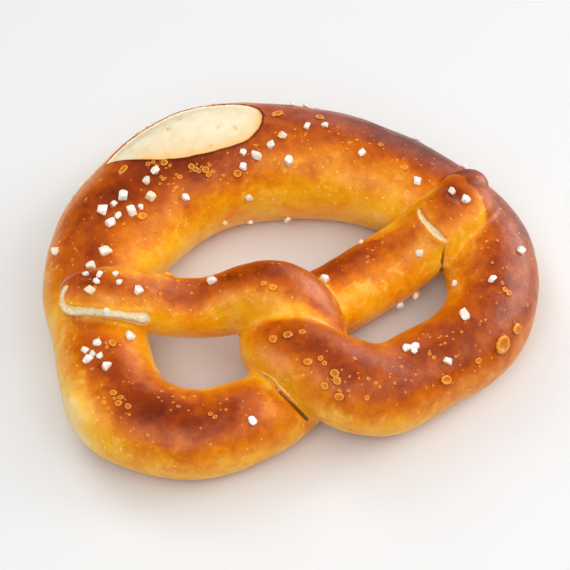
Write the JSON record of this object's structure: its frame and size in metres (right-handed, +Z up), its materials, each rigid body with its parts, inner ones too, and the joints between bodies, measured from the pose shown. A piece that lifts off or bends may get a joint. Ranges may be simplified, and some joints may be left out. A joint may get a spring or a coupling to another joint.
{
  "type": "soft pretzel",
  "caption": "Soft baked pretzel: a looped and twisted rope of dough with a thick scored belly, thin arms, brown lye crust and coarse salt.",
  "frame": {"origin": "middle of the outline, on the surface that the pretzel rests on", "axes": "+Z up, +Y towards the thick belly at the back, -Y towards the twist at the front, +X to the right loop and along the longest extent"},
  "size_m": [0.1626, 0.1416, 0.0362],
  "materials": {
    "crust": "satin lye crust",
    "crumb": "matt bread crumb",
    "salt": "coarse salt crystals"
  },
  "bodies": {
    "root": {"pretzel": "crust"}
  },
  "joints": []
}
